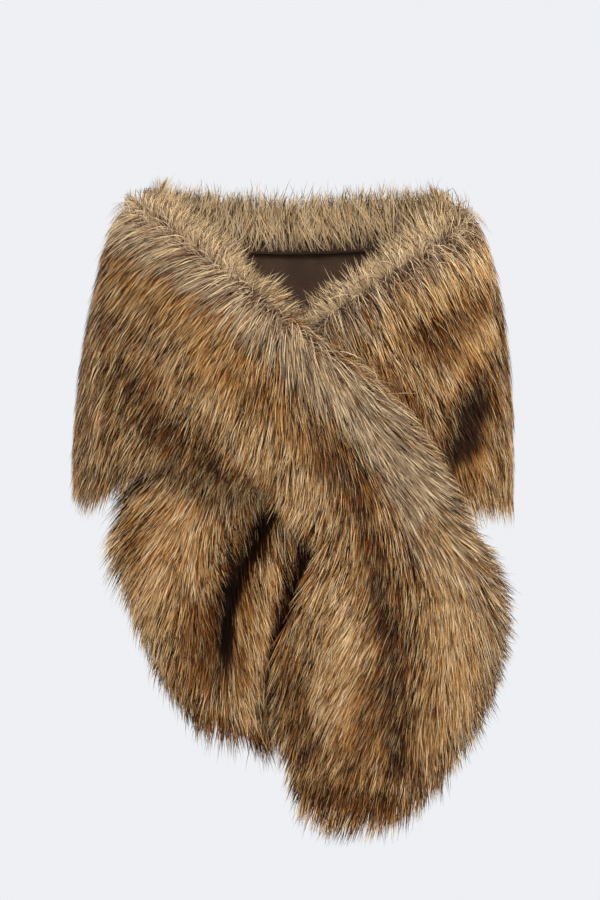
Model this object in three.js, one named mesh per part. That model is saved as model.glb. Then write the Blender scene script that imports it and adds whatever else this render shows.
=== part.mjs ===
// A long-pile faux-fur stole, worn off the shoulders with its two ends crossed on the chest.
// Millimetres. X runs to the right as seen from the front, Y to the back and Z up. The origin lies on the
// middle line at the height of the upper arms, where the wearer holds the wrap up.
import * as THREE from 'three';

// The general figure that gives the worn wrap its hollow form: an oval with flattened sides at each height
const figure = {
  topHalfWidth: 187, // at the origin's height
  halfWidthGain: 50, // further down
  halfWidthFall: 130, // the drop over which most of the gain comes
  topFront: 66,
  frontGain: 54,
  frontFall: 95,
  topBack: 84,
  backGain: 16,
  backFall: 80,
  topPower: 2.3, // 2 is an ellipse, more is squarer
  powerGain: 0.5,
  powerFall: 500,
  highest: 60, // above this height the figure keeps its size
};

// The wall: the woven backing with its pile laid down. Distances are from the fold of the turned neck edge,
// where the fur also stands up, or from the tips of the fur at the hem.
const pile = {
  depth: 18, // from the inner face of the backing to the outside of the pile
  standing: 24, // height of the fur that stands on the neck edge
  neckRise: 40, // distance from those tips over which the neck edge gets its full depth
  neckFull: 6, // how far the turned edge stands out over the pile below it
  neckFullAt: 22,
  neckFullWidth: 15,
  neckInside: 9, // how far the turned-over pile stands in
  neckInsideAt: 9,
  neckInsideWidth: 24,
  hemFade: 60, // distance over which the pile thins towards the hem
  hemStart: 7, // how much of that distance counts as passed at the very tips
  tipDepth: 2.4, // wall left at the tips of the fur
  tipOut: 9, // where the tips hang, out from the backing's inner face
};

// Locks of fur along the neck edge, the hem and the two ends: how far the longest stand past the shortest, over
// what width of the edge the wall follows them, and how much thicker they are
const locks = {
  hemReach: 15,
  hemWidth: 12,
  neckReach: 12,
  neckWidth: 10,
  endReach: 15,
  endWidth: 8,
  pitch: 10.5,
  endPitch: 9,
  relief: 0.3,
  paces: [1.9, 2.63, 4.4],
};

// Where the wall has its points: sections at even distances along the strip, and in each section rows near the
// fold of the neck edge, near the tips at the hem and at even steps between
const rows = {
  sectionPitch: 10.8,
  nearNeck: [-24, -12, -3, 5, 14, 26, 40],
  nearHem: [46, 24, 9, 0],
  plainSteps: 13,
};

const seamGap = 0.3;
const degree = Math.PI / 180;
const millimetresPerDegree = 4; // what a degree round the figure measures on the chest and the back

// Sections of the strip, from the end on top, over the chest, round the wearer's right arm, the back and the
// left arm, under the first end and down to the second. Degrees round the figure count from the front towards
// the viewer's right. Z is the height, lift the backing's distance from the figure, bow the drop of the
// section's middle and belly how far that middle stands out.
const sectionColumns = ['neckDeg', 'neckZ', 'neckLift', 'hemDeg', 'hemZ', 'hemLift', 'bow', 'belly'];
const sectionRows = [
  [34, -595, 31, 3, -642, 31, -68, 3],
  [39.5, -555, 31, 1, -610, 31, -54, 7],
  [43.5, -512, 31, -2, -569, 32, -39, 10],
  [47.5, -469, 31, -4, -520, 33, -25, 12],
  [48, -432, 31, -4, -474, 34, -13, 10],
  [44, -388, 32, -2, -430, 35, -6, 6],
  [36, -332, 34, 2, -384, 35, 0, 3],
  [29, -265, 35, 4, -352, 35, 0, 2],
  [22, -218, 37, 0, -331, 35, 0, 2],
  [15, -182, 38, -7, -315, 34, 0, 2],
  [8, -156, 38, -14, -299, 33, 0, 2],
  [1, -131, 35, -20, -280, 32, 0, 3],
  [-8, -98, 28, -27, -266, 32, 0, 5],
  [-18, -69, 19, -35, -286, 30, 0, 7],
  [-30, -41, 13, -45, -309, 24, 0, 7],
  [-45, -13, 4, -58, -325, 15, 0, 6],
  [-64, 1, -3, -74, -331, 8, 0, 3],
  [-91, 8, -8, -93, -332, 5, 0, 1],
  [-120, 9, -4, -119, -330, 4, 0, 2],
  [-150, 4, 1, -149, -327, 4, 0, 2],
  [-180, 0, 3, -180, -325, 4, 0, 2],
  [-210, 4, 3, -210, -327, 4, 0, 2],
  [-240, 9, 4, -238, -330, 4, 0, 3],
  [-265, 4, 5, -258, -332, 5, 0, 4],
  [-286, -12, 6, -270, -333, 6, 0, 5],
  [-306, -33, 6, -280, -334, 7, 0, 5],
  [-323, -60, 7, -289, -334, 7, 0, 4],
  [-335, -83, 7, -296, -334, 7, 0, 3],
  [-343, -104, 7, -303, -333, 7, 0, 2],
  [-352, -127, 4, -311, -333, 6, 0, 1],
  [-362, -151, 2, -319, -335, 6, 0, 0],
  [-375, -184, 2, -328, -341, 6, 0, 0],
  [-387, -224, 3, -337, -355, 6, 0, 0],
  [-397, -270, 5, -344, -378, 6, 0, 1],
  [-401, -323, 11, -349, -412, 7, 0, 5],
  [-398, -379, 19, -353, -460, 8, -2, 9],
  [-393, -438, 23, -355, -510, 8, -8, 10],
  [-387, -493, 24, -357, -542, 8, -25, 9],
  [-380, -541, 24, -359, -564, 8, -48, 6],
];
const sections = sectionRows.map((row) => Object.fromEntries(sectionColumns.map((name, i) => [name, row[i]])));

// Folds run down a stretch: the degrees at the top, middle and bottom of each, the heights between which it
// shows, its half width, and its height over the cloth, which is negative for a trough.
const foldColumns = ['topDeg', 'middleDeg', 'bottomDeg', 'topZ', 'bottomZ', 'halfWidth', 'height'];
const foldRows = [
  [22, 25, 26, -320, -650, 17, -11], // the soft trough that parts the end on top in two
  [10, 10, 11, -350, -640, 26, 7],
  [37, 42, 40, -350, -600, 27, 7],
  [-6, 8, 22, -150, -330, 15, -6], // gathers where the strip narrows over the chest
  [-26, -12, 8, -110, -330, 20, 6],
  [-40, -31, -16, -90, -300, 18, -6],
  [-58, -52, -38, -60, -310, 24, 6],
  [-76, -78, -74, -40, -330, 20, -6], // round the arms and the back
  [-98, -92, -96, -60, -340, 22, 5],
  [-118, -126, -130, -20, -330, 18, -7],
  [-148, -144, -152, -60, -335, 24, 6],
  [-172, -168, -176, -10, -290, 17, -6],
  [-196, -202, -198, -70, -335, 24, 7],
  [-222, -217, -224, -20, -330, 18, -7],
  [-252, -258, -255, -50, -340, 22, 5],
  [-292, -286, -280, -60, -340, 17, -8],
  [-310, -300, -292, -90, -340, 19, 6],
  [-364.6, -379.7, -376, -308, -566, 14, -26], // the deep trough that parts the end underneath in two
  [-361, -366, -374, -340, -610, 14, 9],
  [-387, -391, -377, -320, -600, 32, 11],
];
const folds = foldRows.map((row) => Object.fromEntries(foldColumns.map((name, i) => [name, row[i]])));

// Each stretch that shows, with the sections that it runs between
const stretches = [
  { name: 'over_tail', from: 0, to: 6.4, color: 0x8a6a45 },
  { name: 'over_front', from: 6.4, to: 14.6, color: 0x947551 },
  { name: 'right_shoulder', from: 14.6, to: 18, color: 0x876641 },
  { name: 'back', from: 18, to: 22, color: 0x80603d },
  { name: 'left_shoulder', from: 22, to: 26, color: 0x876641 },
  { name: 'under_front', from: 26, to: 31.6, color: 0x8c6c47 },
  { name: 'under_tail', from: 31.6, to: 38, color: 0x8a6a45 },
];

function mix(a, b, share) {
  return a + (b - a) * share;
}

function smooth(value) {
  const t = Math.min(Math.max(value, 0), 1);
  return t * t * (3 - 2 * t);
}

function bell(distance, halfWidth) {
  return Math.exp(-((distance / halfWidth) ** 2));
}

// A point at an angle and a height round the figure, a lift away from it
function aroundFigure(degrees, height, lift) {
  const level = Math.min(height, figure.highest);
  const gone = (fall) => 1 - Math.exp(level / fall);
  const side = Math.sin(degrees * degree);
  const ahead = Math.cos(degrees * degree);
  const power = figure.topPower + figure.powerGain * Math.min(Math.max(-height / figure.powerFall, 0), 1);
  const reach = (Math.abs(side) ** power + Math.abs(ahead) ** power) ** (-1 / power);
  const halfWidth = figure.topHalfWidth + figure.halfWidthGain * gone(figure.halfWidthFall) + lift;
  const front = figure.topFront + figure.frontGain * gone(figure.frontFall);
  const back = figure.topBack + figure.backGain * gone(figure.backFall);
  const depth = mix(back, front, (1 + ahead) / 2) + lift;
  return new THREE.Vector3(halfWidth * reach * side, -depth * reach * ahead, height);
}

// The section at any place along the strip, on a smooth curve through the table's rows
function sectionAt(place) {
  const last = sections.length - 1;
  const start = Math.min(Math.max(Math.floor(place), 0), last - 1);
  const t = place - start;
  const four = [start - 1, start, start + 1, start + 2].map((i) => sections[Math.min(Math.max(i, 0), last)]);
  const section = {};
  for (const name of sectionColumns) {
    const [a, b, c, d] = four.map((row) => row[name]);
    const cubic = ((3 * (b - c) + d - a) * t + 2 * a - 5 * b + 4 * c - d) * t + c - a;
    section[name] = b + (cubic * t) / 2;
  }
  return section;
}

function foldHeight(degrees, height) {
  let total = 0;
  for (const fold of folds) {
    const t = (height - fold.topZ) / (fold.bottomZ - fold.topZ);
    const shown = smooth(t / 0.22) * (1 - smooth((t - 0.72) / 0.28));
    const s = Math.min(Math.max(t, 0), 1);
    const path = (1 - s) ** 2 * fold.topDeg + 2 * s * (1 - s) * fold.middleDeg + s * s * fold.bottomDeg;
    total += fold.height * shown * bell((degrees - path) * millimetresPerDegree, fold.halfWidth);
  }
  return total;
}

// A point of the wall: how far along the strip, how far across from neck edge (0) to hem (1), how far out
function wrapPoint(place, across, outward) {
  const row = sectionAt(place);
  const within = Math.min(Math.max(across, 0), 1);
  const middle = 4 * within * (1 - within);
  const degrees = mix(row.neckDeg, row.hemDeg, across);
  const height = mix(row.neckZ, row.hemZ, across) + row.bow * middle;
  const inner = mix(row.neckLift, row.hemLift, across) + row.belly * middle;
  return aroundFigure(degrees, height, inner + foldHeight(degrees, height) + outward);
}

function sectionLength(place) {
  const steps = 6;
  let length = 0;
  for (let i = 0; i < steps; i += 1) {
    const a = wrapPoint(place, i / steps, 0);
    length += a.distanceTo(wrapPoint(place, (i + 1) / steps, 0));
  }
  return length;
}

// The speeds along the strip at one place: at the neck edge, in the middle and at the hem
function speedsAt(place) {
  const step = 0.01;
  return [0, 0.5, 1].map((across) => {
    const a = wrapPoint(place - step, across, 0);
    return a.distanceTo(wrapPoint(place + step, across, 0)) / (2 * step);
  });
}

// An uneven wave, half a unit either way, that gives each lock its own length
function lockWave(count) {
  const waves = locks.paces.map((pace, i) => Math.sin(count * pace + i));
  return waves.reduce((sum, wave) => sum + wave, 0) / locks.paces.length / 2;
}

// How far across the outer and the inner face have their points, closer together at the two edges
function acrossSteps(length) {
  const outer = rows.nearNeck.map((fromFold) => fromFold / length);
  const plainFrom = outer[outer.length - 1];
  const plainTo = 1 - rows.nearHem[0] / length;
  for (let i = 1; i < rows.plainSteps; i += 1) {
    outer.push(mix(plainFrom, plainTo, i / rows.plainSteps));
  }
  outer.push(...rows.nearHem.map((fromHem) => 1 - fromHem / length));
  const inner = outer.filter((across, i) => i % 2 === 1 && across < plainTo).reverse();
  inner.unshift(1 - rows.nearHem[1] / length);
  return { outer, inner };
}

// The inner and the outer face of the wall, at distances from the fold, from the hem's tips and from an end
function wallFaces(fromFold, fromHem, fromEnd, lock) {
  const left = smooth((fromHem + pile.hemStart) / pile.hemFade) * smooth((fromEnd + pile.hemStart) / pile.hemFade);
  const risen = smooth((fromFold + pile.standing) / pile.neckRise);
  const full = pile.depth * risen + pile.neckFull * bell(fromFold - pile.neckFullAt, pile.neckFullWidth);
  const relief = 1 + locks.relief * lock * (1 - left);
  const turned = -pile.neckInside * bell(fromFold - pile.neckInsideAt, pile.neckInsideWidth);
  return {
    inner: mix(pile.tipOut - pile.tipDepth / 2, turned, left),
    outer: mix(pile.tipOut, full, left) * relief + pile.tipDepth / 2,
  };
}

// The outline of one section: the outer face from the neck edge to the hem, then the inner face back
function sectionOutline(spot) {
  const length = sectionLength(spot.place);
  const neckLock = lockWave(spot.neck / locks.pitch);
  const hemLock = lockWave(spot.hem / locks.pitch);
  const { outer, inner } = acrossSteps(length);
  const points = [];
  const fromFolds = [];
  const add = (across, face) => {
    const fromFold = across * length;
    const fromHem = length - fromFold;
    const neckShift = locks.neckReach * neckLock * bell(fromFold + pile.standing, locks.neckWidth);
    const hemShift = locks.hemReach * hemLock * bell(fromHem, locks.hemWidth);
    const endShift = locks.endReach * lockWave(fromFold / locks.endPitch) * bell(spot.end, locks.endWidth);
    const outward = wallFaces(fromFold, fromHem, spot.end, hemLock)[face];
    const point = wrapPoint(spot.place, across + (hemShift - neckShift) / length, outward);
    point.z -= endShift;
    points.push(point);
    fromFolds.push(fromFold);
  };
  outer.forEach((across) => add(across, 'outer'));
  inner.forEach((across) => add(across, 'inner'));
  return { points, fromFolds, outerCount: outer.length };
}

// The face that closes the wall at a section: triangles between its outer and its inner row of points
function sectionFace({ fromFolds, outerCount }) {
  const all = fromFolds.map((fromFold, i) => i);
  const outer = all.slice(0, outerCount);
  const inner = [0, ...all.slice(outerCount).reverse(), outerCount - 1];
  const faces = [];
  let i = 0;
  let j = 0;
  while (i < outer.length - 1 || j < inner.length - 1) {
    const innerDone = j === inner.length - 1;
    const outerFirst = i < outer.length - 1 && (innerDone || fromFolds[outer[i + 1]] <= fromFolds[inner[j + 1]]);
    if (outerFirst) {
      faces.push([outer[i], outer[i + 1], inner[j]]);
      i += 1;
    } else {
      faces.push([outer[i], inner[j + 1], inner[j]]);
      j += 1;
    }
  }
  return faces.filter(([a, b, c]) => a !== b && b !== c && c !== a);
}

// A closed body from a row of outlines: the sides between them and a face at each end
function closedBody(outlines) {
  const count = outlines[0].points.length;
  const positions = outlines.flatMap((outline) => outline.points.flatMap((point) => point.toArray()));
  const index = [];
  for (let i = 0; i < outlines.length - 1; i += 1) {
    for (let j = 0; j < count; j += 1) {
      const a = i * count + j;
      const b = i * count + ((j + 1) % count);
      index.push(a, a + count, b, b, a + count, b + count);
    }
  }
  const lastStart = (outlines.length - 1) * count;
  sectionFace(outlines[0]).forEach(([a, b, c]) => index.push(a, b, c));
  sectionFace(outlines[outlines.length - 1]).forEach(([a, b, c]) => {
    index.push(lastStart + a, lastStart + c, lastStart + b);
  });
  const geometry = new THREE.BufferGeometry();
  geometry.setAttribute('position', new THREE.Float32BufferAttribute(positions, 3));
  geometry.setIndex(index);
  return geometry;
}

// The distances along the strip at close places, in the middle and at both edges, so that the sections and the
// locks can stand at even distances
function stripDistances() {
  const step = 0.02;
  const table = [{ place: 0, neck: 0, middle: 0, hem: 0 }];
  for (let i = 1; i <= Math.round((sections.length - 1) / step); i += 1) {
    const before = table[i - 1];
    const [neck, middle, hem] = speedsAt((i - 0.5) * step);
    const mean = (neck + middle + hem) / 3;
    table.push({
      place: i * step,
      neck: before.neck + neck * step,
      middle: before.middle + mean * step,
      hem: before.hem + hem * step,
    });
  }
  return table;
}

const distances = stripDistances();
const stripLength = distances[distances.length - 1].middle;

// The row of that table, between two of its rows, where one of its columns has a value
function spotWhere(column, value) {
  const found = distances.findIndex((row) => row[column] >= value - 1e-9);
  const next = found < 0 ? distances.length - 1 : Math.max(found, 1);
  const [a, b] = [distances[next - 1], distances[next]];
  const share = (value - a[column]) / (b[column] - a[column]);
  const spot = {};
  for (const name of Object.keys(a)) {
    spot[name] = mix(a[name], b[name], share);
  }
  spot.end = Math.min(spot.middle, stripLength - spot.middle);
  return spot;
}

// One stretch of the strip, with half a seam's gap at each end that meets another stretch
function stretchMesh({ name, from, to, color }) {
  const halfGap = (place) => seamGap / 2 / Math.min(...speedsAt(place));
  const first = from === 0 ? 0 : from + halfGap(from);
  const last = to === sections.length - 1 ? to : to - halfGap(to);
  const start = spotWhere('place', first).middle;
  const end = spotWhere('place', last).middle;
  const count = Math.ceil((end - start) / rows.sectionPitch);
  const outlines = [];
  for (let i = 0; i <= count; i += 1) {
    const spot = spotWhere('middle', mix(start, end, i / count));
    outlines.push(sectionOutline(spot));
  }
  const fur = new THREE.MeshStandardMaterial({ color, roughness: 0.9, metalness: 0 });
  const mesh = new THREE.Mesh(closedBody(outlines), fur);
  mesh.name = name;
  return mesh;
}

const wrap = new THREE.Group();
wrap.name = 'fur_collar_wrap';
stretches.forEach((stretch) => wrap.add(stretchMesh(stretch)));

export default wrap;
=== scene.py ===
# A long-pile faux-fur stole, worn off the shoulders with its two ends crossed on the chest
import math
from types import SimpleNamespace
import bpy
import numpy as np
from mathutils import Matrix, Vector


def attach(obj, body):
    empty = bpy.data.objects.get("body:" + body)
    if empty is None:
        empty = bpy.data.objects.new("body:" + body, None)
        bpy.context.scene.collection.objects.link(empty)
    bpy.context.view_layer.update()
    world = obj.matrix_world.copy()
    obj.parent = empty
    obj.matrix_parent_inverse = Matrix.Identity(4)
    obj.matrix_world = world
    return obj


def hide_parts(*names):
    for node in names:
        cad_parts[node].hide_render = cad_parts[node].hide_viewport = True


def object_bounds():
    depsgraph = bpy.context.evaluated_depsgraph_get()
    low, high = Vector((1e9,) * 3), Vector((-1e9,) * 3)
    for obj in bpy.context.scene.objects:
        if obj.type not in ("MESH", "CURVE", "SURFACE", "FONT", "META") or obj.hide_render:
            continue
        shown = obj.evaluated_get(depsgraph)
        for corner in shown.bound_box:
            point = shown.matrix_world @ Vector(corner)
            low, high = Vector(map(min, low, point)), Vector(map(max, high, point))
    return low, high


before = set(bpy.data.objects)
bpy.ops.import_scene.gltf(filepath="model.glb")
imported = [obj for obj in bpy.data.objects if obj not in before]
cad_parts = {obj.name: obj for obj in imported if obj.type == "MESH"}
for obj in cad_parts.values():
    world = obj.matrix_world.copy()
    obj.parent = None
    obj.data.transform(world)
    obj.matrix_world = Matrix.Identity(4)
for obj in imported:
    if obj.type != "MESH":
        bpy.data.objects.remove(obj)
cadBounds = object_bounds()

# Camera

camera = {"lens": 87, "filmHeight": 36, "distance": 2.5, "elevation": 5, "aim": (0.010, -0.060, -0.270)}


def placeLooking(name, data, where):
    # a camera or a lamp at a point, turned towards the aim
    obj = bpy.data.objects.new(name, data)
    bpy.context.collection.objects.link(obj)
    obj.location = where
    obj.rotation_euler = (Vector(where) - Vector(camera["aim"])).to_track_quat("Z", "Y").to_euler()
    return obj


def makeCamera():
    # as far in front of the aim as its distance, raised by its elevation
    data = bpy.data.cameras.new("camera")
    data.lens = camera["lens"]
    data.sensor_fit = "VERTICAL"
    data.sensor_height = camera["filmHeight"]
    tilt = math.radians(camera["elevation"])
    back = Vector((0, -math.cos(tilt), math.sin(tilt)))
    where = Vector(camera["aim"]) + camera["distance"] * back
    bpy.context.scene.camera = placeLooking("camera", data, where)


makeCamera()
print("camera set")

# The worn form: an oval at each height, and the strip of cloth round it, in millimetres and degrees.
# Degrees count from the front towards the viewer's right, and places number the sections along the strip.

wornOval = {
    # each: its size at the top, how much it gains and over what height
    "halfWidth": (187, 50, 130), "front": (66, 54, 95), "back": (84, 16, 80),
    "power": (2.3, 0.5, 500), "highest": 60, "foldLift": 20,
}

# neckDeg, neckZ, neckLift, hemDeg, hemZ, hemLift, bow, belly
sectionTable = np.array([
    [34, -595, 31, 3, -642, 31, -68, 3],
    [39.5, -555, 31, 1, -610, 31, -54, 7],
    [43.5, -512, 31, -2, -569, 32, -39, 10],
    [47.5, -469, 31, -4, -520, 33, -25, 12],
    [48, -432, 31, -4, -474, 34, -13, 10],
    [44, -388, 32, -2, -430, 35, -6, 6],
    [36, -332, 34, 2, -384, 35, 0, 3],
    [29, -265, 35, 4, -352, 35, 0, 2],
    [22, -218, 37, 0, -331, 35, 0, 2],
    [15, -182, 38, -7, -315, 34, 0, 2],
    [8, -156, 38, -14, -299, 33, 0, 2],
    [1, -131, 35, -20, -280, 32, 0, 3],
    [-8, -98, 28, -27, -266, 32, 0, 5],
    [-18, -69, 19, -35, -286, 30, 0, 7],
    [-30, -41, 13, -45, -309, 24, 0, 7],
    [-45, -13, 4, -58, -325, 15, 0, 6],
    [-64, 1, -3, -74, -331, 8, 0, 3],
    [-91, 8, -8, -93, -332, 5, 0, 1],
    [-120, 9, -4, -119, -330, 4, 0, 2],
    [-150, 4, 1, -149, -327, 4, 0, 2],
    [-180, 0, 3, -180, -325, 4, 0, 2],
    [-210, 4, 3, -210, -327, 4, 0, 2],
    [-240, 9, 4, -238, -330, 4, 0, 3],
    [-265, 4, 5, -258, -332, 5, 0, 4],
    [-286, -12, 6, -270, -333, 6, 0, 5],
    [-306, -33, 6, -280, -334, 7, 0, 5],
    [-323, -60, 7, -289, -334, 7, 0, 4],
    [-335, -83, 7, -296, -334, 7, 0, 3],
    [-343, -104, 7, -303, -333, 7, 0, 2],
    [-352, -127, 4, -311, -333, 6, 0, 1],
    [-362, -151, 2, -319, -335, 6, 0, 0],
    [-375, -184, 2, -328, -341, 6, 0, 0],
    [-387, -224, 3, -337, -355, 6, 0, 0],
    [-397, -270, 5, -344, -378, 6, 0, 1],
    [-401, -323, 11, -349, -412, 7, 0, 5],
    [-398, -379, 19, -353, -460, 8, -2, 9],
    [-393, -438, 23, -355, -510, 8, -8, 10],
    [-387, -493, 24, -357, -542, 8, -25, 9],
    [-380, -541, 24, -359, -564, 8, -48, 6],
], float)
lastPlace = len(sectionTable) - 1

# topDeg, middleDeg, bottomDeg, topZ, bottomZ, halfWidth, height
foldTable = [
    [22, 25, 26, -320, -650, 17, -11],
    [10, 10, 11, -350, -640, 26, 7],
    [37, 42, 40, -350, -600, 27, 7],
    [-6, 8, 22, -150, -330, 15, -6],
    [-26, -12, 8, -110, -330, 20, 6],
    [-40, -31, -16, -90, -300, 18, -6],
    [-58, -52, -38, -60, -310, 24, 6],
    [-76, -78, -74, -40, -330, 20, -6],
    [-98, -92, -96, -60, -340, 22, 5],
    [-118, -126, -130, -20, -330, 18, -7],
    [-148, -144, -152, -60, -335, 24, 6],
    [-172, -168, -176, -10, -290, 17, -6],
    [-196, -202, -198, -70, -335, 24, 7],
    [-222, -217, -224, -20, -330, 18, -7],
    [-252, -258, -255, -50, -340, 22, 5],
    [-292, -286, -280, -60, -340, 17, -8],
    [-310, -300, -292, -90, -340, 19, 6],
    [-364.6, -379.7, -376, -308, -566, 14, -26],
    [-361, -366, -374, -340, -610, 14, 9],
    [-387, -391, -377, -320, -600, 32, 11],
    [-357.3, -361.5, -365, -385, -610, 10, -13],
    [-364.2, -379.7, -376, -300, -560, 7, -9],
]
millimetresPerDegree = 4
metre = 0.001


def smooth(value):
    # three times the square less twice the cube, from 0 to 1
    t = np.clip(value, 0, 1)
    return t * t * (3 - 2 * t)


def mix(a, b, share):
    # a straight way from a to b
    return a + (b - a) * share


def unit(vectors):
    # each vector over its own length
    return vectors / np.maximum(np.linalg.norm(vectors, axis=-1, keepdims=True), 1e-9)


def aroundOval(degrees, height, lift):
    # a rounded oblong (superellipse) whose half width and depth grow downwards, and the lift widens both
    level = np.minimum(height, wornOval["highest"])
    side = np.sin(np.radians(degrees))
    ahead = np.cos(np.radians(degrees))
    topPower, powerGain, fall = wornOval["power"]
    power = topPower + powerGain * np.clip(-height / fall, 0, 1)
    reach = (np.abs(side) ** power + np.abs(ahead) ** power) ** (-1 / power)
    halfWidth, front, back = (
        top + gain * (1 - np.exp(level / fall))
        for top, gain, fall in (wornOval["halfWidth"], wornOval["front"], wornOval["back"])
    )
    depth = mix(back, front, (1 + ahead) / 2)
    return np.stack([(halfWidth + lift) * reach * side, -(depth + lift) * reach * ahead, height], axis=-1)


def sectionsAt(place):
    # a smooth curve (Catmull-Rom) through the table's rows
    start = np.clip(np.floor(place).astype(int), 0, lastPlace - 1)
    t = (place - start)[..., None]
    a, b, c, d = (sectionTable[np.clip(start + k, 0, lastPlace)] for k in (-1, 0, 1, 2))
    return b + ((((3 * (b - c) + d - a) * t + 2 * a - 5 * b + 4 * c - d) * t + c - a) * t) / 2


def foldHeight(degrees, height):
    # each fold is a bell across its path, fading in and out down the cloth
    total = np.zeros(np.shape(degrees))
    for topDeg, middleDeg, bottomDeg, topZ, bottomZ, halfWidth, rise in foldTable:
        t = (height - topZ) / (bottomZ - topZ)
        shown = smooth(t / 0.22) * (1 - smooth((t - 0.72) / 0.28))
        s = np.clip(t, 0, 1)
        path = (1 - s) ** 2 * topDeg + 2 * s * (1 - s) * middleDeg + s * s * bottomDeg
        total += rise * shown * np.exp(-(((degrees - path) * millimetresPerDegree / halfWidth) ** 2))
    return total


def flatPoints(place, across, outward):
    # the strip before its folds; across is 0 at the fold of the neck edge and 1 at the fur's tips at the hem
    place, across, outward = np.broadcast_arrays(*(np.asarray(v, float) for v in (place, across, outward)))
    row = sectionsAt(place)
    within = np.clip(across, 0, 1)
    middle = 4 * within * (1 - within)
    degrees = mix(row[..., 0], row[..., 3], across)
    height = mix(row[..., 1], row[..., 4], across) + row[..., 6] * middle
    inner = mix(row[..., 2], row[..., 5], across) + row[..., 7] * middle
    return aroundOval(degrees, height, inner + outward), degrees


def folded(points, degrees):
    # each point moves out or in by the height of the folds where it is. Its own degrees are found from its x and
    # y, then counted on from those of the strip there.
    x, y, z = points[..., 0], points[..., 1], points[..., 2]
    lift = wornOval["foldLift"]
    own = np.degrees(np.arctan2(x, -y))
    for repeat in range(2):
        edge = aroundOval(own, z, lift)
        sideScale = np.abs(edge[..., 0]) / np.maximum(np.abs(np.sin(np.radians(own))), 1e-3)
        aheadScale = np.abs(edge[..., 1]) / np.maximum(np.abs(np.cos(np.radians(own))), 1e-3)
        own = np.degrees(np.arctan2(x / np.maximum(sideScale, 1), -y / np.maximum(aheadScale, 1)))
    here = degrees + (own - degrees + 180) % 360 - 180
    height = foldHeight(here, z)
    way = aroundOval(own, z, lift + 1) - aroundOval(own, z, lift)
    return points + way * height[..., None], height


def wrapPoints(place, across, outward):
    # the strip with its folds
    return folded(*flatPoints(place, across, outward))[0]


def wrapFrames(place, across):
    # unit vectors along the flat strip, across it towards the hem, and out from it
    along = unit(flatPoints(place + 0.02, across, 0)[0] - flatPoints(place - 0.02, across, 0)[0])
    over = unit(flatPoints(place, across + 0.01, 0)[0] - flatPoints(place, across - 0.01, 0)[0])
    out = unit(np.cross(along, over))
    radial = flatPoints(place, across, 1)[0] - flatPoints(place, across, 0)[0]
    out *= np.sign(np.sum(out * radial, axis=-1, keepdims=True))
    return along, over, out


tablePlaces = np.linspace(0, lastPlace, 761)


def stripTables():
    # widths of the sections, and the distances along the neck edge, the middle and the hem
    shares = np.linspace(0, 1, 25)
    grid = wrapPoints(tablePlaces[:, None], shares[None, :], 0)
    width = np.linalg.norm(np.diff(grid, axis=1), axis=-1).sum(axis=1)
    steps = np.linalg.norm(np.diff(grid[:, [0, 12, 24]], axis=0), axis=-1)
    runs = np.vstack([np.zeros(3), np.cumsum(steps, axis=0)])
    return width, runs


sectionWidths, stripRuns = stripTables()
stripLength = stripRuns[-1].mean()


def widthAt(place):
    # straight between the measured sections
    return np.interp(place, tablePlaces, sectionWidths)


def runAt(place, across):
    # distance along the strip, between that of the neck edge and that of the hem
    neck, middle, hem = (np.interp(place, tablePlaces, stripRuns[:, k]) for k in range(3))
    return np.where(across < 0.5, mix(neck, middle, across * 2), mix(middle, hem, across * 2 - 1))


def fromEndAt(place):
    # how far along the middle of the strip the nearer of its two ends is
    run = np.interp(place, tablePlaces, stripRuns.mean(axis=1))
    return np.minimum(run, stripLength - run)


# each stretch: the places where it starts and ends, its slot, how many strands it has, how high the fur rises next to
# the fold, its group of tone and painted shade patches and lines, the tone of its body, and the share, the depth and
# the tone of the taupe by the fold
stretchFields = "first last slot strands rise patches tone taupeShare taupeDepth taupeTone".split()
stretchTable = {
    "over_tail": (0, 6.4, "fur_over", 31500, 24, "over", 0.61, 0.45, 44, 0.08),
    "over_front": (6.4, 14.6, "fur_over", 32000, 26, "over", 0.56, 1, 47, 0.11),
    "right_shoulder": (14.6, 18, "fur_round", 17000, 21, "over", 0.56, 1, 50, 0.12),
    "back": (18, 22, "fur_round", 24500, 21, "under", 0.56, 1, 44, 0.08),
    "left_shoulder": (22, 26, "fur_round", 16000, 22, "under", 0.56, 1, 33, 0.075),
    "under_front": (26, 31.6, "fur_under", 17000, 25, "under", 0.56, 1, 36, 0.07),
    "under_tail": (31.6, 38, "fur_under", 24500, 22, "tail", 0.63, 0, 44, 0.08),
}
stretches = {name: SimpleNamespace(name=name, **dict(zip(stretchFields, row))) for name, row in stretchTable.items()}

print("strip measured,", round(stripLength), "mm long,", round(sectionWidths.mean()), "mm wide on average")

# Nodes


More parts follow.
